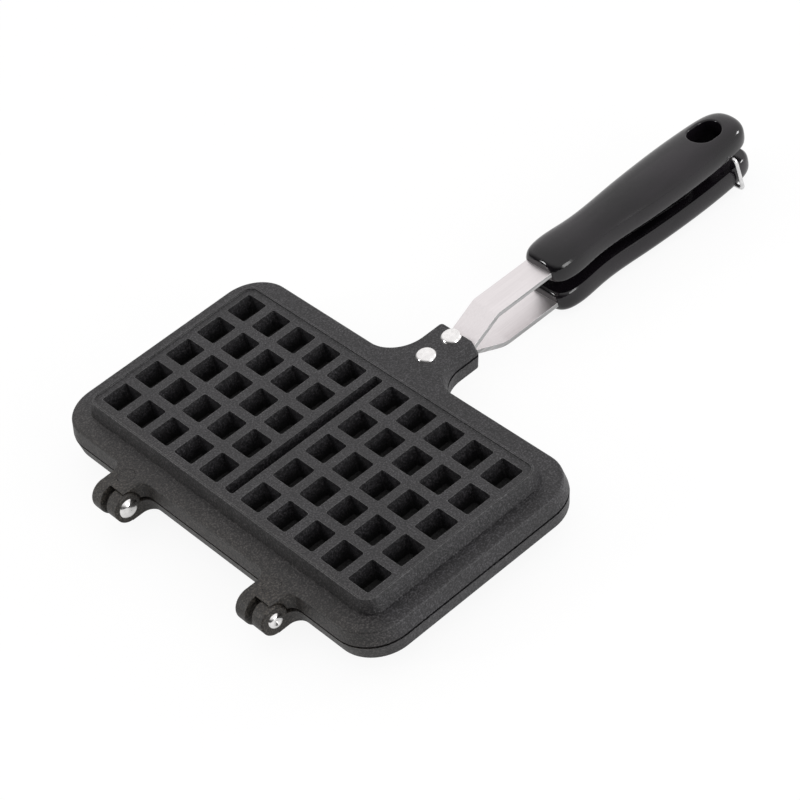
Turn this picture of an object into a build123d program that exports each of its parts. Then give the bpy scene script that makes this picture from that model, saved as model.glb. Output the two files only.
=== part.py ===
from build123d import *
import math
import os

os.makedirs("parts", exist_ok=True)

# A hinged pan that bakes two waffles over a stove: two ribbed plates, each with a long handle.
# Millimetres. X runs along the hinges, Y from the hinges to the handles, Z up.
# The origin is the centre of the lip that the closed pan rests on.

# Plates, measured from the parting plane outwards
flange_half_x = 122.4
flange_half_y = 67.2
flange_corner = 22.0
flange_height = 8.6
flange_draft = 1.4
flange_edge_round = 1.2
parting_relief = 0.6
parting_relief_depth = 2.0
block_half_x = 108.4
block_half_y = 53.0
block_corner = 7.0
block_rise = 6.6
block_draft = 2.3
lip_height = 0.8
lip_width = 1.6

# Pockets outside, which are the backs of the studs inside
columns = 5
rows = 5
pitch_x = 19.9
pitch_y = 20.0
centre_spacing = 32.1
pocket_x = 14.5
pocket_y = 14.9
pocket_corner = 1.3
pocket_slope = 0.13
skin = 1.8
side_wall = 2.4
stud_gap = 5.0
ridge_groove_width = 6.5
ridge_tip_width = 5.2
cavity_corner = 6.0

# Neck that carries each handle
neck_half_width = 13.2
neck_end = 98.2
neck_corner = 2.6
neck_root_radius = 17.0

# Hinges: an ear on the upper plate beside a knuckle on the lower one
hinge_spacing = 114.0
hinge_offset_x = 1.2
hinge_axis_y = -78.2
lug_width = 17.6
ear_width = 7.8
hinge_side_gap = 3.0
knuckle_width = 8.4
knuckle_radius = 7.6
knuckle_gap = 0.3
shelf_gap = 0.2
lug_root_radius = 6.0
lug_tip_radius = 1.0
pin_radius = 2.5
running_clearance = 0.05
edge_tolerance = 0.01

# Rivets
rivet_head_radius = 5.4
rivet_head_height = 1.9
rivet_flat_radius = 2.5
pin_head_radius = 5.2
pin_head_height = 2.2
pin_tail_radius = 4.0
pin_tail_height = 1.6
pin_dimple_radius = 1.7
pin_dimple_depth = 0.7
rivet_radius = 2.5
rivet_sink_radius = 3.9
rivet_sink_depth = 1.4
neck_rivet_inner_y = 76.0
neck_rivet_outer_y = 92.6

# Handle straps
strap_width = 18.0
strap_thickness = 2.5
strap_start_y = 69.0
strap_seat_gap = 0.2
strap_seat_clearance = 0.2
strap_exit_y = 98.6
strap_bend_y = 116.5
strap_outer_height = 11.0
strap_end_y = 200.0
strap_end_corner = 4.0
upper_bend_radius = 3.0
lower_bend_radius = 16.0
exit_bend_radius = 3.0
anchor_hole_radius = 3.5
anchor_hole_inset = 10.0
anchor_hole_spacing = 22.0

# Grips, as half width and half thickness at places along the handle
grip_start_y = 152.4
grip_stations = [
    (0.0, 8.5, 4.2),
    (1.4, 10.8, 6.2),
    (4.2, 12.7, 7.6),
    (8.6, 13.8, 8.4),
    (13.6, 14.1, 8.7),
    (27.6, 13.0, 8.5),
    (41.6, 12.9, 8.4),
    (58.6, 14.2, 8.6),
    (78.6, 15.3, 8.7),
    (100.6, 15.6, 8.7),
    (114.6, 15.1, 8.6),
    (124.6, 14.3, 8.4),
    (131.6, 12.9, 7.8),
    (135.8, 10.6, 6.7),
    (138.2, 7.4, 5.0),
    (139.2, 3.6, 2.6),
]
grip_axis_height = 9.8
grip_squareness = 2.4
grip_inner_squareness = 4.0
grip_section_points = 20
grip_face_height = 3.6
moulding_clearance = 0.05
recess_near = 44.6
recess_near_radius = 5.5
recess_near_depth = 3.4
recess_far = 93.6
recess_far_radius = 11.0
recess_far_depth = 5.2
hang_hole_centre = 118.6
hang_hole_length = 19.0
hang_hole_width = 15.0
hang_hole_round = 1.0
hang_ring_width = 2.6
hang_ring_gap = 0.25

# Wire bail at the tip of the lower grip
wire_radius = 1.1
bail_y = 277.0
bail_axis_depth = 16.5
bail_top_y = 274.6
bail_top_height = 3.8
bail_side_clearance = 0.8
bail_hook_reach = 4.6
bail_bend_radius = 2.4
wire_clearance = 0.15
hook_clearance = 0.3

# Heights that follow from the sizes above
field_height = flange_height + block_rise
parting_z = field_height + lip_height
cavity_floor = field_height - skin
stud_tip = stud_gap / 2
block_slope = block_draft / block_rise
strap_centre_low = strap_seat_gap + strap_thickness / 2
strap_centre_high = strap_outer_height - strap_thickness / 2
hinge_centres = [hinge_offset_x - hinge_spacing / 2, hinge_offset_x + hinge_spacing / 2]
lug_left = -lug_width / 2
lug_right = lug_width / 2
ear_right = lug_left + ear_width
knuckle_left = ear_right + hinge_side_gap
knuckle_right = knuckle_left + knuckle_width


def frustum(low_size, low_corner, low_z, high_size, high_corner, high_z):
    """A block with rounded corners and straight sloping sides."""
    low = Pos(0, 0, low_z) * RectangleRounded(low_size[0], low_size[1], low_corner)
    high = Pos(0, 0, high_z) * RectangleRounded(high_size[0], high_size[1], high_corner)
    return loft([low, high], ruled=True)


def plate_outline(inset, lug_sides=None):
    """The flange with its neck, drawn in by the inset, and with lugs where their sides are given."""
    edge_x = flange_half_x - inset
    edge_y = flange_half_y - inset
    neck_x = neck_half_width - inset
    neck_y = neck_end - inset
    outer = flange_corner - inset
    root = neck_root_radius + inset
    tip = neck_corner - inset / 2
    corners = [
        (edge_x, -edge_y),
        (edge_x, edge_y),
        (neck_x, edge_y),
        (neck_x, neck_y),
        (-neck_x, neck_y),
        (-neck_x, edge_y),
        (-edge_x, edge_y),
        (-edge_x, -edge_y),
    ]
    radii = [outer, outer, root, tip, tip, root, outer, outer]
    if lug_sides is not None:
        far = hinge_axis_y - 2 * flange_height
        for centre in hinge_centres:
            low = centre + lug_sides[0]
            high = centre + lug_sides[1]
            corners += [(low, -edge_y), (low, far), (high, far), (high, -edge_y)]
            radii += [lug_root_radius, lug_tip_radius, lug_tip_radius, lug_root_radius]
    return FilletPolyline(*corners, radius=radii, close=True)


def along_x(x_low, x_high, radius):
    """A round bar about the hinge axis."""
    place = Pos((x_low + x_high) / 2, hinge_axis_y, 0) * Rot(0, 90, 0)
    return place * Cylinder(radius, x_high - x_low)


def beyond_hinge_axis(x_low, x_high, gap=0.0):
    """The room on the far side of the hinge axis, above the parting plane, reaching back by the gap."""
    length = 3 * flange_height
    height = 2 * flange_height
    middle = ((x_low + x_high) / 2, hinge_axis_y + gap - length / 2, height / 2)
    return Pos(*middle) * Box(x_high - x_low, length, height)


def flange(lug_sides, lug_radius):
    """The rim of the plate with its neck and lugs, each lug round about the hinge axis."""
    edge = Pos(0, 0, parting_relief) * make_face(plate_outline(0, lug_sides))
    face = Pos(0, 0, flange_height) * make_face(plate_outline(flange_draft, lug_sides))
    body = loft([edge, face], ruled=True)
    for centre in hinge_centres:
        low = centre - lug_width
        high = centre + lug_width
        body -= beyond_hinge_axis(low, high) - along_x(low, high, lug_radius)
    rim = body.edges().filter_by(
        lambda e: abs(e.center().Z - flange_height) < edge_tolerance
        and e.center().Y > hinge_axis_y + edge_tolerance
    )
    body = fillet(rim, flange_edge_round)
    return body + extrude(make_face(plate_outline(parting_relief_depth)), 2 * parting_relief)


def raised_block():
    """The block that stands on the flange and the lip round its edge."""
    top = (2 * block_half_x, 2 * block_half_y)
    base = (top[0] + 2 * block_draft, top[1] + 2 * block_draft)
    block = frustum(base, block_corner + block_draft, flange_height, top, block_corner, field_height)
    lip_draft = block_slope * lip_height
    crest = (top[0] - 2 * lip_draft, top[1] - 2 * lip_draft)
    inside = (top[0] - 2 * lip_width, top[1] - 2 * lip_width)
    mouth = (inside[0] + 2 * lip_draft, inside[1] + 2 * lip_draft)
    inner_corner = block_corner - lip_width
    lip = frustum(top, block_corner, field_height, crest, block_corner - lip_draft, parting_z)
    lip -= frustum(inside, inner_corner, field_height, mouth, inner_corner + lip_draft, parting_z)
    return block + lip


def cavity_half(half, z):
    return half + block_slope * (field_height - z) - side_wall


def cavities():
    """The two hollows that hold the batter, one each side of the dividing ridge."""
    groove_slope = (ridge_groove_width - ridge_tip_width + 2 * skin) / 2 / field_height
    cuts = Part()
    for side in (-1, 1):
        levels = []
        for z in (0, cavity_floor):
            inner = ridge_tip_width / 2 + groove_slope * z
            outer = cavity_half(block_half_x, z)
            width = outer - inner
            depth = 2 * cavity_half(block_half_y, z)
            place = Pos(side * (inner + outer) / 2, 0, z)
            levels.append(place * RectangleRounded(width, depth, cavity_corner))
        cuts += loft(levels, ruled=True)
    return cuts


def pocket_places():
    places = []
    for side in (-1, 1):
        for column in range(columns):
            x = side * (centre_spacing / 2 + column * pitch_x)
            for row in range(rows):
                places.append(Pos(x, (row - (rows - 1) / 2) * pitch_y, 0))
    return places


def tapered_square(z_low, z_high, wall):
    """A pocket, or with a wall the stud around it, narrower towards the parting plane."""
    low_shrink = 2 * pocket_slope * (field_height - z_low)
    high_shrink = 2 * pocket_slope * (field_height - z_high)
    low = (pocket_x - low_shrink + 2 * wall, pocket_y - low_shrink + 2 * wall)
    high = (pocket_x - high_shrink + 2 * wall, pocket_y - high_shrink + 2 * wall)
    return frustum(low, pocket_corner + wall / 2, z_low, high, pocket_corner + wall / 2, z_high)


def ridge_groove():
    """The slot in the outside of the ridge between the two waffles."""
    length = (rows - 1) * pitch_y + pocket_y
    depth = field_height - stud_tip - skin
    shrink = 2 * pocket_slope * depth
    mouth = (ridge_groove_width, length)
    bottom = (ridge_groove_width - shrink, length - shrink)
    radius = pocket_corner
    return frustum(bottom, radius, field_height - depth, mouth, radius, field_height)


def strap_seat():
    """The recess in the neck that the strap lies in, with the rivet holes."""
    depth = strap_centre_low + strap_thickness / 2
    start = strap_start_y - strap_seat_clearance
    length = neck_end + flange_draft - start
    width = strap_width + 2 * strap_seat_clearance
    cut = Pos(0, start + length / 2, depth / 2) * Box(width, length, depth)
    for y in (neck_rivet_inner_y, neck_rivet_outer_y):
        cut += Pos(0, y, flange_height / 2) * Cylinder(rivet_radius + running_clearance, flange_height)
    return cut


def plate(lug_sides, lug_radius):
    """One plate above the parting plane, without its half of the hinges."""
    body = flange(lug_sides, lug_radius) + raised_block() - cavities()
    places = pocket_places()
    stud = tapered_square(stud_tip, cavity_floor, skin)
    pocket = tapered_square(stud_tip + skin, field_height, 0)
    body += [place * stud for place in places]
    body -= [place * pocket for place in places]
    return body - ridge_groove() - strap_seat()


def barrel(x_low, x_high, radius):
    """The half of an ear or a knuckle beyond the parting plane, with rounded ends."""
    bar = along_x(x_low, x_high, radius)
    bar = fillet(bar.edges().filter_by(GeomType.CIRCLE), flange_edge_round)
    keep = Pos((x_low + x_high) / 2, hinge_axis_y, parting_relief - radius)
    return bar & keep * Box(x_high - x_low, 2 * radius, 2 * radius)


def upper_plate():
    """The upper plate: at each lug an ear, and beside it a shelf hollowed for the knuckle."""
    body = plate((lug_left, lug_right), flange_height)
    room = knuckle_radius + knuckle_gap
    for centre in hinge_centres:
        ear_low = centre + lug_left
        ear_high = centre + ear_right
        end = centre + knuckle_right + lug_root_radius
        body -= beyond_hinge_axis(ear_high, end, shelf_gap)
        body += barrel(ear_low, ear_high, flange_height)
        body -= along_x(ear_high, end, room)
        body -= along_x(ear_low, ear_high, pin_radius + running_clearance)
    return body


def lower_plate():
    """The lower plate, drawn above the parting plane: a knuckle beside room for each ear."""
    body = plate((knuckle_left, knuckle_right), knuckle_radius)
    room = flange_height + knuckle_gap
    for centre in hinge_centres:
        knuckle_low = centre + knuckle_left
        knuckle_high = centre + knuckle_right
        end = knuckle_low - lug_root_radius - ear_width
        body += barrel(knuckle_low, knuckle_high, knuckle_radius)
        body -= along_x(end, knuckle_low, room)
        body -= along_x(knuckle_low, knuckle_high, pin_radius + running_clearance)
    return body


def strap_path(bend_radius):
    """The bent centre line of a strap, above the parting plane."""
    half = strap_thickness / 2
    return FilletPolyline(
        (0, strap_start_y, strap_centre_low),
        (0, strap_exit_y, strap_centre_low),
        (0, strap_bend_y, strap_centre_high),
        (0, strap_end_y, strap_centre_high),
        radius=[exit_bend_radius + half, bend_radius + half],
    )


def strap_bar(bend_radius):
    """The strap before its holes."""
    path = strap_path(bend_radius)
    section = Plane(origin=path @ 0, x_dir=(1, 0, 0), z_dir=path % 0) * Rectangle(
        strap_width, strap_thickness
    )
    bar = sweep(section, path=path)
    ends = bar.edges().filter_by(Axis.Z)
    return fillet(ends, strap_end_corner)


def anchor_places():
    first = strap_end_y - anchor_hole_inset
    return [first, first - anchor_hole_spacing]


def strap(bend_radius):
    """A flat bar with countersunk rivet holes and holes that the grip is moulded through."""
    bar = strap_bar(bend_radius)
    sink = rivet_sink_radius + running_clearance
    hole = rivet_radius + running_clearance
    for y in (neck_rivet_inner_y, neck_rivet_outer_y):
        bar -= Pos(0, y, strap_centre_low) * Cylinder(hole, 2 * strap_thickness)
        bar -= Pos(0, y, strap_seat_gap + rivet_sink_depth / 2) * Cone(sink, hole, rivet_sink_depth)
    for y in anchor_places():
        bar -= Pos(0, y, strap_centre_high) * Cylinder(anchor_hole_radius, 2 * strap_thickness)
    return bar


def grip_section(half_width, half_thickness):
    """A closed curve between an ellipse and a rectangle, squarer on the inner side."""
    points = []
    for i in range(grip_section_points):
        angle = 2 * math.pi * (i + 0.5) / grip_section_points
        c = math.cos(angle)
        s = math.sin(angle)
        power = 2 / (grip_squareness if s > 0 else grip_inner_squareness)
        x = half_width * math.copysign(abs(c) ** power, c)
        z = half_thickness * math.copysign(abs(s) ** power, s)
        points.append((x, z))
    return make_face(Spline(*points, periodic=True))


def grip_blank():
    """The outside of a grip: rounded at both ends, full in the hand, flat inside."""
    sections = []
    for along, half_width, half_thickness in grip_stations:
        plane = Plane(origin=(0, grip_start_y + along, grip_axis_height), x_dir=(1, 0, 0), z_dir=(0, -1, 0))
        sections.append(plane * grip_section(half_width, half_thickness))
    blank = loft(sections)
    length = grip_stations[-1][0]
    below = 2 * grip_axis_height
    slab = Pos(0, grip_start_y + length / 2, grip_face_height - below / 2)
    blank -= slab * Box(3 * strap_width, length + strap_width, below)
    return blank


def recess():
    """The spoon-shaped hollow in the inner face of a grip, narrow at its near end."""
    hollow = Part()
    rings = []
    ends = [
        (recess_near, recess_near_radius, recess_near_depth),
        (recess_far, recess_far_radius, recess_far_depth),
    ]
    for along, radius, depth in ends:
        centre = (0, grip_start_y + along, grip_face_height + depth - radius)
        hollow += Pos(*centre) * Sphere(radius)
        rings.append(Plane(origin=centre, x_dir=(1, 0, 0), z_dir=(0, 1, 0)) * Circle(radius))
    return hollow + loft(rings, ruled=True)


def slot(length, width, depth):
    return extrude(Rot(0, 0, 90) * SlotOverall(length, width), depth)


def on_hole_mouth(edge, hole_y):
    """Whether an edge runs round the outer end of the hanging hole."""
    centre = edge.center()
    half_width = hang_hole_width / 2 + hang_hole_round
    half_length = hang_hole_length / 2 + hang_hole_round
    inside = abs(centre.X) < half_width and abs(centre.Y - hole_y) < half_length
    return inside and centre.Z > grip_axis_height and edge.geom_type != GeomType.LINE


def grip(bend_radius):
    """A grip moulded around the end of its strap."""
    body = grip_blank()
    hole_y = grip_start_y + hang_hole_centre
    ring_length = hang_hole_length + 2 * hang_ring_width
    ring_width = hang_hole_width + 2 * hang_ring_width
    ring_height = grip_axis_height - hang_ring_gap
    body += Pos(0, hole_y, hang_ring_gap) * slot(ring_length, ring_width, ring_height)
    body -= Pos(0, hole_y, 0) * slot(hang_hole_length, hang_hole_width, 3 * grip_axis_height)
    mouth = body.edges().filter_by(lambda e: on_hole_mouth(e, hole_y))
    body = fillet(mouth, hang_hole_round)
    body -= recess()
    bar = strap_bar(bend_radius)
    for y in anchor_places():
        plug = Cylinder(anchor_hole_radius - moulding_clearance, 2 * strap_thickness)
        bar -= Pos(0, y, strap_centre_high) * plug
    return body - bar


def dome(radius, height, base, flat=0.0):
    """The arc of a domed head, from its rim to its crown, or to the edge of a flat on its crown."""
    run = radius - flat
    sphere = (run**2 + height**2) / (2 * height)
    half_angle = math.asin(run / sphere) / 2
    drop = sphere * (1 - math.cos(half_angle))
    middle = (flat + sphere * math.sin(half_angle), base + height - drop)
    return ThreePointArc((radius, base), middle, (flat, base + height))


def neck_rivet():
    """A rivet with a flattened dome outside and a tail sunk into the strap."""
    top = flange_height
    low = strap_seat_gap
    crown = top + rivet_head_height
    profile = Polyline(
        (rivet_flat_radius, crown),
        (0, crown),
        (0, low),
        (rivet_sink_radius, low),
        (rivet_radius, low + rivet_sink_depth),
        (rivet_radius, top),
        (rivet_head_radius, top),
    )
    head = dome(rivet_head_radius, rivet_head_height, top, rivet_flat_radius)
    return revolve(make_face(profile + head), Axis.Y)


def hinge_rivet():
    """A hinge pin with a domed head at one end and a smaller spread tail at the other."""
    half = (knuckle_right - lug_left) / 2
    tail_end = -half - pin_tail_height
    profile = Polyline(
        (pin_dimple_radius, tail_end),
        (0, tail_end + pin_dimple_depth),
        (0, half + pin_head_height),
    )
    head = dome(pin_head_radius, pin_head_height, half)
    tail = mirror(dome(pin_tail_radius, pin_tail_height, half, pin_dimple_radius), Plane.XZ)
    shank = Polyline(
        (pin_head_radius, half),
        (pin_radius, half),
        (pin_radius, -half),
        (pin_tail_radius, -half),
    )
    return revolve(make_face(profile + head + shank + tail), Axis.Y)


def bail_width():
    """Half the distance between the bail's legs, clear of the grip beside them."""
    along = bail_top_y - wire_radius - grip_start_y
    before = [s for s in grip_stations if s[0] <= along][-1]
    after = [s for s in grip_stations if s[0] > along][0]
    share = (along - before[0]) / (after[0] - before[0])
    half_width = before[1] + share * (after[1] - before[1])
    return half_width + bail_side_clearance + wire_radius


def bail():
    """A springy wire under the lower grip whose bent ends reach the upper grip's flanks."""
    leg = bail_width()
    hook = leg - bail_hook_reach
    top = parting_z + bail_top_height
    low = parting_z - bail_axis_depth
    path = FilletPolyline(
        (-hook, bail_top_y, top),
        (-leg, bail_top_y, top),
        (-leg, bail_y, low),
        (leg, bail_y, low),
        (leg, bail_top_y, top),
        (hook, bail_top_y, top),
        radius=bail_bend_radius,
    )
    section = Plane(origin=path @ 0, z_dir=path % 0) * Circle(wire_radius)
    return sweep(section, path=path)


def bail_groove():
    """The groove across the underside of the lower grip that the wire turns in."""
    reach = wire_radius + wire_clearance
    length = 4 * strap_width
    centre = parting_z - bail_axis_depth
    groove = Pos(0, bail_y, centre) * Rot(0, 90, 0) * Cylinder(reach, length)
    groove += Pos(0, bail_y, centre - strap_width / 2) * Box(length, 2 * reach, strap_width)
    return groove


def hook_rebate():
    """Room at the lower edges of the upper grip for the bent ends of the bail, open to the tip."""
    gap = wire_radius + hook_clearance
    inner = bail_width() - bail_hook_reach - hook_clearance
    start = bail_top_y - gap
    length = grip_start_y + grip_stations[-1][0] - start
    height = bail_top_height + gap
    cuts = Part()
    for side in (-1, 1):
        middle = (side * (inner + strap_width / 2), start + length / 2, height / 2)
        cuts += Pos(*middle) * Box(strap_width, length, height)
    return cuts


def above(shape):
    return Pos(0, 0, parting_z) * shape


def below(shape):
    return Pos(0, 0, parting_z) * mirror(shape, Plane.XY)


def build():
    nodes = {}
    nodes["upper_plate"] = above(upper_plate())
    nodes["lower_plate"] = below(lower_plate())
    nodes["upper_handle_strap"] = above(strap(upper_bend_radius))
    nodes["lower_handle_strap"] = below(strap(lower_bend_radius))
    nodes["upper_grip"] = above(grip(upper_bend_radius) - hook_rebate())
    nodes["lower_grip"] = below(grip(lower_bend_radius)) - bail_groove()
    rivet = Rot(90, 0, 0) * neck_rivet()
    for name, y in (("inner", neck_rivet_inner_y), ("outer", neck_rivet_outer_y)):
        nodes["upper_neck_rivet_" + name] = above(Pos(0, y, 0) * rivet)
        nodes["lower_neck_rivet_" + name] = below(Pos(0, y, 0) * rivet)
    pin = hinge_rivet()
    left, right = [centre + (lug_left + knuckle_right) / 2 for centre in hinge_centres]
    nodes["left_hinge_rivet"] = Pos(left, hinge_axis_y, parting_z) * Rot(0, 0, -90) * pin
    nodes["right_hinge_rivet"] = Pos(right, hinge_axis_y, parting_z) * Rot(0, 0, 90) * pin
    nodes["handle_bail"] = bail()
    return nodes


for name, shape in build().items():
    export_step(shape, os.path.join("parts", name + ".step"))
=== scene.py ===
import bpy
import math
from mathutils import Matrix, Vector


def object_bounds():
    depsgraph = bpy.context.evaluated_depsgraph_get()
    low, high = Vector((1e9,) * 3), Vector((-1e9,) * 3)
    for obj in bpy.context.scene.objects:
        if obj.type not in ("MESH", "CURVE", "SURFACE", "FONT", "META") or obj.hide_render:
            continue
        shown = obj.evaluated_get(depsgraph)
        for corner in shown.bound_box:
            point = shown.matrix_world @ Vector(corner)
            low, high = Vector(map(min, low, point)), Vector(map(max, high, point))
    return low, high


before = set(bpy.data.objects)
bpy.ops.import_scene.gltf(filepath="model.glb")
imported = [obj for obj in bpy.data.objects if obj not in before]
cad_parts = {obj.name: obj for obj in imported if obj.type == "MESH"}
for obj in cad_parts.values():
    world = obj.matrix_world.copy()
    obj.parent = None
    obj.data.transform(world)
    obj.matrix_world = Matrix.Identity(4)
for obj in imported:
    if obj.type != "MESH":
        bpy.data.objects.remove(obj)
cad_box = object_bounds()

# Metres, in the frame of the CAD model: X along the hinges, Y to the handles, Z up.
CAMERA_PLACE = (0.83006, -0.42986, 0.86577)
CAMERA_TARGET = (0.00526, 0.05214, 0.016)
CAMERA_ROLL = math.radians(-15.77)
CAMERA_LENS = 119.39
CAMERA_SENSOR = 36.0
CAMERA_NEAR = 0.05
CAMERA_FAR = 20.0

# Square lights: place, width, and how bright the square looks
SOFTBOXES = {
    "side_window": ((1.86, 0.35, 0.62), 0.80, 6.0),
    "front_window": ((-0.85, -1.40, 0.70), 0.35, 18.0),
    "far_window": ((0.80, 1.88, 0.62), 0.30, 18.0),
}
LIGHT_TARGET = (0.0, 0.1, 0.0)

# The floor, and how it and the sky darken towards the hinge side
FLOOR_HALF = 4.0
FLOOR_GAP = 0.0002
FLOOR_ROUGHNESS = 0.9
FLOOR_BRIGHT_WAY = (0.6, 1.0, 0.0)
FLOOR_DARK_FROM = -0.08
FLOOR_BRIGHT_FROM = 0.05
FLOOR_DARK = 0.80
FLOOR_BRIGHT = 0.95
FLOOR_GLOW_ON_OBJECT = 0.5
FLOOR_GLOW_SEEN = 0.90
SKY_BRIGHT_WAY = (-0.1, 0.8, 1.0)
SKY_DARK_FROM = -0.25
SKY_BRIGHT_FROM = 0.40
SKY_DARK = 0.06
SKY_BRIGHT = 1.0
SKY_COLOUR = (1.0, 0.985, 0.99, 1.0)
WHITE = (1.0, 1.0, 1.0, 1.0)

# Soft edges, as the bevel's width at each kind of node
PLATE_EDGE = 0.00045
GRIP_EDGE = 0.0005
STRAP_EDGE = 0.0003
EDGE_SEGMENTS = 2
SHARP_ANGLE = math.radians(38.0)
FLAT_ANGLE = math.radians(1.0)
WELD_DISTANCE = 0.000002

# Painted marks on the plates, by the height off the parting plane and along Y: worn edges that are
# partly a painted highlight, painted shade in the pockets, and a warmer, lighter coat towards the
# hinges
PARTING_HEIGHT = 0.016
WEAR_AND_HIGHLIGHT_WIDTH = 0.0005
WEAR_AND_HIGHLIGHT_SAMPLES = 3
WEAR_AND_HIGHLIGHT_TURN_NONE = 0.995
WEAR_AND_HIGHLIGHT_TURN_FULL = 0.90
WEAR_AND_HIGHLIGHT_HEIGHT_NONE = 0.0140
WEAR_AND_HIGHLIGHT_HEIGHT_FULL = 0.0147
POCKET_SHADE_NONE = 0.0105
POCKET_SHADE_FULL = 0.0055
BLOCK_HALF = (0.107, 0.052)
WARM_NONE_Y = -0.045
WARM_FULL_Y = -0.075

# The moulded rings on the hinge lugs
RING_MIDDLE = (0.0012, -0.0695)
RING_SPACING = 0.114
RING_RADIUS = 0.0045
RING_WIDTH = 0.00035

# Noise, in cells to the metre
CAST_GRAIN = 1150.0
CAST_PATCHES = 420.0
CAST_SWELLS = 160.0
CAST_STAINS = 38.0
GRIP_RIPPLES = 260.0
GRIP_FLOW = 150.0
GRIP_CLOUDS = 60.0
STEEL_GRAIN = 1500.0
STEEL_CLOUDS = 60.0
METAL_GLOSS = 900.0
METAL_DENTS = 700.0
METAL_STAINS = 500.0

# How noise is drawn out along the handle
GRIP_FLOW_STRETCH = (1.0, 0.25, 1.0)
GRIP_CLOUD_STRETCH = (1.0, 0.3, 1.0)
STEEL_STRETCH = (1.0, 0.03, 1.0)

# How much light the coat and the plastic bend
COAT_IOR = 1.5
GRIP_IOR = 1.47

# Bumps, as strength and height in metres
CAST_GRAIN_BUMP = (0.6, 0.0004)
CAST_SWELL_BUMP = (0.15, 0.0006)
RING_BUMP = (0.8, 0.0003)
GRIP_BUMP = (0.05, 0.0003)
STEEL_BUMP = (0.05, 0.0001)
METAL_BUMP = (0.08, 0.0001)

# Bright metals: colour and the least and most roughness
RIVET_LOOK = ((0.93, 0.92, 0.91), 0.13, 0.20)
WIRE_LOOK = ((0.82, 0.82, 0.82), 0.14, 0.24)
STAINED_SHARE = 0.85

# The strap's darker sides, as how far a face is turned towards X
STRAP_SIDE_FROM = 0.5
STRAP_SIDE_FULL = 0.9


def grey(value):
    return (value, value, value)


# Stops of the colour ramps: place and colour
CAST_COOL = [
    (0.36, (0.001, 0.001, 0.0015)),
    (0.5, (0.009, 0.0085, 0.010)),
    (0.66, (0.054, 0.052, 0.056)),
]
CAST_WARM = [
    (0.36, (0.001, 0.001, 0.001)),
    (0.5, (0.0125, 0.0100, 0.0075)),
    (0.66, (0.064, 0.057, 0.048)),
]
# Worn edges, partly a painted highlight
CAST_WORN_AND_HIGHLIT = [(0.35, grey(0.045)), (0.65, grey(0.125))]
# Painted shade deep in the pockets
CAST_POCKET_SHADE = [(0.4, grey(0.001)), (0.7, grey(0.006))]
CAST_STAIN = [(0.3, grey(0.75)), (0.7, grey(1.25))]
CAST_ROUGHNESS = [(0.3, grey(0.54)), (0.7, grey(0.40))]
GRIP_COLOUR = [(0.35, (0.002, 0.0018, 0.0025)), (0.7, (0.012, 0.0095, 0.0125))]
GRIP_ROUGHNESS = [(0.3, grey(0.10)), (0.75, grey(0.17))]
STEEL_LIGHT = [(0.3, (0.80, 0.765, 0.77)), (0.7, (0.84, 0.805, 0.81))]
STEEL_DIM = [(0.3, (0.74, 0.705, 0.71)), (0.7, (0.79, 0.755, 0.76))]
# Darker colour on the strap's sides
STEEL_SIDES = [(0.3, grey(0.32)), (0.7, grey(0.52))]
STEEL_ROUGHNESS = [(0.3, grey(0.42)), (0.7, grey(0.36))]
FLOOR_SHADES = [(0.0, grey(FLOOR_DARK)), (1.0, grey(FLOOR_BRIGHT))]


def new_material(name):
    """A material with its node tree and its shader."""
    material = bpy.data.materials.new(name)
    material.use_nodes = True
    tree = material.node_tree
    return material, tree, tree.nodes["Principled BSDF"]


def feed(tree, socket, value):
    """Links an output to a socket, or sets a plain value there."""
    if isinstance(value, bpy.types.NodeSocket):
        tree.links.new(value, socket)
    else:
        socket.default_value = value


def ramp(tree, source, stops):
    """A colour ramp fed by a value."""
    made = tree.nodes.new("ShaderNodeValToRGB")
    elements = made.color_ramp.elements
    while len(elements) < len(stops):
        elements.new(0.5)
    for element, (place, colour) in zip(elements, stops):
        element.position = place
        element.color = (*colour, 1.0)
    tree.links.new(source, made.inputs["Fac"])
    return made.outputs["Color"]


def object_point(tree):
    return tree.nodes.new("ShaderNodeTexCoord").outputs["Object"]


def axes_of(tree, vector):
    """The X, Y and Z of a vector."""
    split = tree.nodes.new("ShaderNodeSeparateXYZ")
    tree.links.new(vector, split.inputs[0])
    return split.outputs


def noise(tree, scale, detail=2.0, rough=0.5, stretch=None):
    """Noise in the object's own coordinates, drawn out where a stretch is given."""
    made = tree.nodes.new("ShaderNodeTexNoise")
    made.inputs["Scale"].default_value = scale
    made.inputs["Detail"].default_value = detail
    made.inputs["Roughness"].default_value = rough
    point = object_point(tree)
    if stretch is not None:
        mapping = tree.nodes.new("ShaderNodeMapping")
        mapping.inputs["Scale"].default_value = stretch
        tree.links.new(point, mapping.inputs["Vector"])
        point = mapping.outputs["Vector"]
    tree.links.new(point, made.inputs["Vector"])
    return made.outputs["Fac"]


def mix(tree, share, first, second, blend="MIX"):
    """A mix of two colours."""
    made = tree.nodes.new("ShaderNodeMix")
    made.data_type = "RGBA"
    made.blend_type = blend
    feed(tree, made.inputs[0], share)
    feed(tree, made.inputs[6], first)
    feed(tree, made.inputs[7], second)
    return made.outputs[2]


def bump(tree, shader, height, size, before=None):
    """Adds a bump of a given strength and height on top of any earlier one."""
    made = tree.nodes.new("ShaderNodeBump")
    made.inputs["Strength"].default_value = size[0]
    made.inputs["Distance"].default_value = size[1]
    tree.links.new(height, made.inputs["Height"])
    if before is not None:
        tree.links.new(before, made.inputs["Normal"])
    tree.links.new(made.outputs["Normal"], shader.inputs["Normal"])
    return made.outputs["Normal"]


def math_node(tree, operation, first, second=None):
    """One sum on values, where the second may be a number or is not needed."""
    made = tree.nodes.new("ShaderNodeMath")
    made.operation = operation
    tree.links.new(first, made.inputs[0])
    if second is not None:
        feed(tree, made.inputs[1], second)
    return made.outputs[0]


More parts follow.
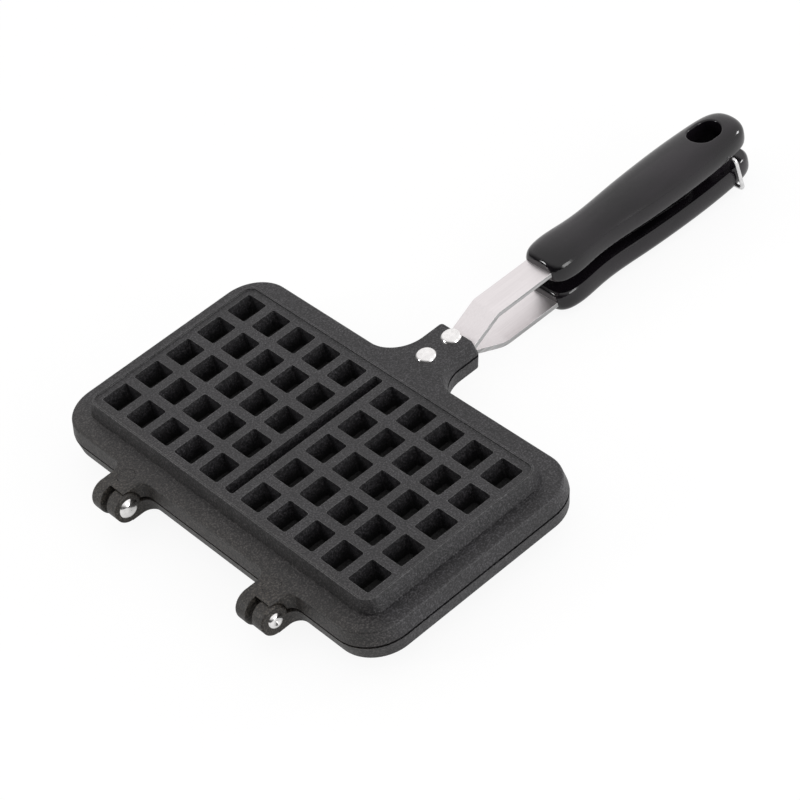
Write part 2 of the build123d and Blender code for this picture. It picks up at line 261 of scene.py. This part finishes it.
def vector_value(tree, operation, first, second=None):
    """One value worked out from a vector, or from two."""
    made = tree.nodes.new("ShaderNodeVectorMath")
    made.operation = operation
    tree.links.new(first, made.inputs[0])
    if second is not None:
        feed(tree, made.inputs[1], second)
    return made.outputs["Value"]


def map_range(tree, source, low, high, from_share=0.0, to_share=1.0):
    """How far a value has gone from low to high, between the two shares."""
    made = tree.nodes.new("ShaderNodeMapRange")
    made.inputs["From Min"].default_value = low
    made.inputs["From Max"].default_value = high
    made.inputs["To Min"].default_value = from_share
    made.inputs["To Max"].default_value = to_share
    tree.links.new(source, made.inputs["Value"])
    return made.outputs[0]


def face_normal(tree):
    return tree.nodes.new("ShaderNodeNewGeometry").outputs["Normal"]


def height_off_parting(tree):
    height = axes_of(tree, object_point(tree))["Z"]
    return math_node(tree, "ABSOLUTE", math_node(tree, "SUBTRACT", height, PARTING_HEIGHT))


def worn_and_highlit_edges(tree):
    """The edges of the lip and of the pockets, paler where the coat rubs on the stove, and partly a
    painted highlight along these edges.
    """
    rounded = tree.nodes.new("ShaderNodeBevel")
    rounded.samples = WEAR_AND_HIGHLIGHT_SAMPLES
    rounded.inputs["Radius"].default_value = WEAR_AND_HIGHLIGHT_WIDTH
    turned = vector_value(tree, "DOT_PRODUCT", rounded.outputs[0], face_normal(tree))
    edge = map_range(tree, turned, WEAR_AND_HIGHLIGHT_TURN_NONE, WEAR_AND_HIGHLIGHT_TURN_FULL)
    high = map_range(tree, height_off_parting(tree), WEAR_AND_HIGHLIGHT_HEIGHT_NONE, WEAR_AND_HIGHLIGHT_HEIGHT_FULL)
    return math_node(tree, "MULTIPLY", edge, high)


def painted_pocket_shade(tree):
    """Painted shade in the depth of the pockets: the coat turns near black towards the pocket
    bottoms inside the block.
    """
    axes = axes_of(tree, object_point(tree))
    share = map_range(tree, height_off_parting(tree), POCKET_SHADE_NONE, POCKET_SHADE_FULL)
    for axis, half in zip("XY", BLOCK_HALF):
        off = math_node(tree, "ABSOLUTE", axes[axis])
        inside = math_node(tree, "LESS_THAN", off, half)
        share = math_node(tree, "MULTIPLY", share, inside)
    return share


def ring_marks(tree):
    """A faint moulded ring at the root of each hinge lug."""
    axes = axes_of(tree, object_point(tree))
    from_middle = math_node(tree, "SUBTRACT", axes["X"], RING_MIDDLE[0])
    off_middle = math_node(tree, "ABSOLUTE", from_middle)
    across = math_node(tree, "SUBTRACT", off_middle, RING_SPACING / 2)
    along = math_node(tree, "SUBTRACT", axes["Y"], RING_MIDDLE[1])
    join = tree.nodes.new("ShaderNodeCombineXYZ")
    tree.links.new(across, join.inputs[0])
    tree.links.new(along, join.inputs[1])
    length = vector_value(tree, "LENGTH", join.outputs[0])
    off_ring = math_node(tree, "ABSOLUTE", math_node(tree, "SUBTRACT", length, RING_RADIUS))
    return map_range(tree, off_ring, RING_WIDTH, 0.0)


def coated_casting():
    """Cast aluminium under a dark non-stick coat: fine pits, pale specks, stains, worn edges that
    are partly a painted highlight, painted shade deep in the pockets, and a warmer, lighter coat
    towards the hinges.
    """
    material, tree, shader = new_material("coated_casting")
    grain = noise(tree, CAST_GRAIN, 3.0, 0.65)
    axes = axes_of(tree, object_point(tree))
    # A warmer, lighter coat towards the hinge side.
    near_hinges = map_range(tree, axes["Y"], WARM_NONE_Y, WARM_FULL_Y)
    coat = mix(tree, near_hinges, ramp(tree, grain, CAST_COOL), ramp(tree, grain, CAST_WARM))
    # Worn edges, partly a painted highlight: a paler coat along the lip and pocket edges.
    coat = mix(tree, worn_and_highlit_edges(tree), coat, ramp(tree, grain, CAST_WORN_AND_HIGHLIT))
    # Painted shade: the coat turns near black deep in the pockets.
    coat = mix(tree, painted_pocket_shade(tree), coat, ramp(tree, grain, CAST_POCKET_SHADE))
    stain = ramp(tree, noise(tree, CAST_STAINS, 4.0), CAST_STAIN)
    feed(tree, shader.inputs["Base Color"], mix(tree, 1.0, coat, stain, "MULTIPLY"))
    patches = noise(tree, CAST_PATCHES, 4.0, 0.65)
    feed(tree, shader.inputs["Roughness"], ramp(tree, patches, CAST_ROUGHNESS))
    shader.inputs["IOR"].default_value = COAT_IOR
    pitted = bump(tree, shader, grain, CAST_GRAIN_BUMP)
    swollen = bump(tree, shader, noise(tree, CAST_SWELLS), CAST_SWELL_BUMP, pitted)
    bump(tree, shader, ring_marks(tree), RING_BUMP, swollen)
    return material


def grip_plastic():
    """Glossy black moulded plastic with faint flow marks."""
    material, tree, shader = new_material("grip_plastic")
    clouds = noise(tree, GRIP_CLOUDS, 3.0, 0.5, GRIP_CLOUD_STRETCH)
    feed(tree, shader.inputs["Base Color"], ramp(tree, clouds, GRIP_COLOUR))
    flow = noise(tree, GRIP_FLOW, 3.0, 0.5, GRIP_FLOW_STRETCH)
    feed(tree, shader.inputs["Roughness"], ramp(tree, flow, GRIP_ROUGHNESS))
    shader.inputs["IOR"].default_value = GRIP_IOR
    bump(tree, shader, noise(tree, GRIP_RIPPLES), GRIP_BUMP)
    return material


def brushed_steel():
    """Satin sheet steel with a faint grain along the handle, darker in colour on the strap's sides
    that face X.
    """
    material, tree, shader = new_material("brushed_steel")
    grain = noise(tree, STEEL_GRAIN, 3.0, 0.5, STEEL_STRETCH)
    clouds = noise(tree, STEEL_CLOUDS)
    face = mix(tree, clouds, ramp(tree, grain, STEEL_LIGHT), ramp(tree, grain, STEEL_DIM))
    to_object = tree.nodes.new("ShaderNodeVectorTransform")
    to_object.vector_type = "NORMAL"
    to_object.convert_from = "WORLD"
    to_object.convert_to = "OBJECT"
    tree.links.new(face_normal(tree), to_object.inputs[0])
    towards_x = math_node(tree, "ABSOLUTE", axes_of(tree, to_object.outputs[0])["X"])
    sideways = map_range(tree, towards_x, STRAP_SIDE_FROM, STRAP_SIDE_FULL)
    # Darker colour on the strap's sides, the faces turned towards X.
    colour = mix(tree, sideways, face, ramp(tree, grain, STEEL_SIDES))
    feed(tree, shader.inputs["Base Color"], colour)
    shader.inputs["Metallic"].default_value = 1.0
    feed(tree, shader.inputs["Roughness"], ramp(tree, grain, STEEL_ROUGHNESS))
    bump(tree, shader, grain, STEEL_BUMP)
    return material


def bright_metal(name, colour, low_rough, high_rough):
    """Pressed or drawn metal with small marks."""
    material, tree, shader = new_material(name)
    stained = tuple(STAINED_SHARE * c for c in colour)
    stains = ramp(tree, noise(tree, METAL_STAINS, 3.0), [(0.3, stained), (0.65, colour)])
    feed(tree, shader.inputs["Base Color"], stains)
    shader.inputs["Metallic"].default_value = 1.0
    stops = [(0.3, grey(low_rough)), (0.7, grey(high_rough))]
    feed(tree, shader.inputs["Roughness"], ramp(tree, noise(tree, METAL_GLOSS), stops))
    bump(tree, shader, noise(tree, METAL_DENTS), METAL_BUMP)
    return material


def soften(obj, width):
    """Joins the flat triangles of a CAD mesh into faces and rounds its sharp edges."""
    weld = obj.modifiers.new("weld", "WELD")
    weld.merge_threshold = WELD_DISTANCE
    flat = obj.modifiers.new("flat_faces", "DECIMATE")
    flat.decimate_type = "DISSOLVE"
    flat.angle_limit = FLAT_ANGLE
    edge = obj.modifiers.new("soft_edges", "BEVEL")
    edge.width = width
    edge.segments = EDGE_SEGMENTS
    edge.limit_method = "ANGLE"
    edge.angle_limit = SHARP_ANGLE
    edge.use_clamp_overlap = True
    edge.miter_outer = "MITER_ARC"
    shade = obj.modifiers.new("even_shading", "WEIGHTED_NORMAL")
    shade.keep_sharp = False


def finish_nodes():
    """Gives every CAD node its material, and softly rounded edges to the plates, straps and grips.
    """
    casting = coated_casting()
    plastic = grip_plastic()
    steel = brushed_steel()
    rivet_metal = bright_metal("rivet_metal", *RIVET_LOOK)
    wire_metal = bright_metal("wire_metal", *WIRE_LOOK)
    finish = {
        "upper_plate": (casting, PLATE_EDGE),
        "lower_plate": (casting, PLATE_EDGE),
        "upper_handle_strap": (steel, STRAP_EDGE),
        "lower_handle_strap": (steel, STRAP_EDGE),
        "upper_grip": (plastic, GRIP_EDGE),
        "lower_grip": (plastic, GRIP_EDGE),
        "handle_bail": (wire_metal, None),
    }
    for name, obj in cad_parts.items():
        material, width = finish.get(name, (rivet_metal, None))
        for slot in obj.material_slots:
            slot.material = material
        if width is not None:
            soften(obj, width)


def aim(place, target, roll):
    """A matrix that looks from place to target, turned about the line of sight."""
    toward = (Vector(target) - Vector(place)).normalized()
    turn = toward.to_track_quat("-Z", "Y").to_matrix() @ Matrix.Rotation(roll, 3, "Z")
    return Matrix.Translation(place) @ turn.to_4x4()


def add_object(name, data):
    """An object with the given data, in the scene."""
    made = bpy.data.objects.new(name, data)
    bpy.context.scene.collection.objects.link(made)
    return made


def add_camera():
    data = bpy.data.cameras.new("camera")
    data.lens = CAMERA_LENS
    data.sensor_width = CAMERA_SENSOR
    data.sensor_height = CAMERA_SENSOR
    data.sensor_fit = "HORIZONTAL"
    data.clip_start = CAMERA_NEAR
    data.clip_end = CAMERA_FAR
    camera = add_object("camera", data)
    camera.matrix_world = aim(CAMERA_PLACE, CAMERA_TARGET, CAMERA_ROLL)
    bpy.context.scene.camera = camera


def add_softbox(name, place, size, glow):
    """A square light of a given brightness that faces the object."""
    data = bpy.data.lights.new(name, "AREA")
    data.size = size
    data.energy = glow * math.pi * size * size
    light = add_object(name, data)
    light.matrix_world = aim(place, LIGHT_TARGET, 0.0)


def camera_ray(tree):
    return tree.nodes.new("ShaderNodeLightPath").outputs["Is Camera Ray"]


def blend_shaders(tree, share, first, second, output):
    made = tree.nodes.new("ShaderNodeMixShader")
    tree.links.new(share, made.inputs[0])
    tree.links.new(first, made.inputs[1])
    tree.links.new(second, made.inputs[2])
    tree.links.new(made.outputs[0], tree.nodes[output].inputs["Surface"])


def add_floor():
    """A plain white floor that keeps a soft shadow and reflects a little darker by the hinges."""
    mesh = bpy.data.meshes.new("floor")
    half = FLOOR_HALF
    corners = [(-half, -half, 0), (half, -half, 0), (half, half, 0), (-half, half, 0)]
    mesh.from_pydata(corners, [], [(0, 1, 2, 3)])
    floor = add_object("floor", mesh)
    floor.location.z = cad_box[0][2] - FLOOR_GAP
    material, tree, shader = new_material("floor")
    along = vector_value(tree, "DOT_PRODUCT", object_point(tree), FLOOR_BRIGHT_WAY)
    level = map_range(tree, along, FLOOR_DARK_FROM, FLOOR_BRIGHT_FROM)
    seen = camera_ray(tree)
    colour = mix(tree, seen, ramp(tree, level, FLOOR_SHADES), WHITE)
    tree.links.new(colour, shader.inputs["Base Color"])
    shader.inputs["Roughness"].default_value = FLOOR_ROUGHNESS
    shader.inputs["Specular IOR Level"].default_value = 0.0
    glow = tree.nodes.new("ShaderNodeEmission")
    tree.links.new(colour, glow.inputs["Color"])
    share = map_range(tree, seen, 0.0, 1.0, FLOOR_GLOW_ON_OBJECT, FLOOR_GLOW_SEEN)
    blend_shaders(tree, share, shader.outputs[0], glow.outputs[0], "Material Output")
    mesh.materials.append(material)


def add_world():
    """A white sky that is dimmer low down on the hinge side, and plain white to the camera."""
    world = bpy.data.worlds.new("studio")
    world.use_nodes = True
    bpy.context.scene.world = world
    tree = world.node_tree
    sky = tree.nodes["Background"]
    direction = tree.nodes.new("ShaderNodeTexCoord").outputs["Generated"]
    slope = vector_value(tree, "DOT_PRODUCT", direction, SKY_BRIGHT_WAY)
    level = map_range(tree, slope, SKY_DARK_FROM, SKY_BRIGHT_FROM, SKY_DARK, SKY_BRIGHT)
    tree.links.new(level, sky.inputs["Strength"])
    sky.inputs["Color"].default_value = SKY_COLOUR
    white = tree.nodes.new("ShaderNodeBackground")
    white.inputs["Strength"].default_value = 1.0
    white.inputs["Color"].default_value = WHITE
    blend_shaders(tree, camera_ray(tree), sky.outputs[0], white.outputs[0], "World Output")


finish_nodes()
add_camera()
add_floor()
add_world()
for softbox, setting in SOFTBOXES.items():
    add_softbox(softbox, *setting)

bpy.context.scene.view_settings.view_transform = "Standard"
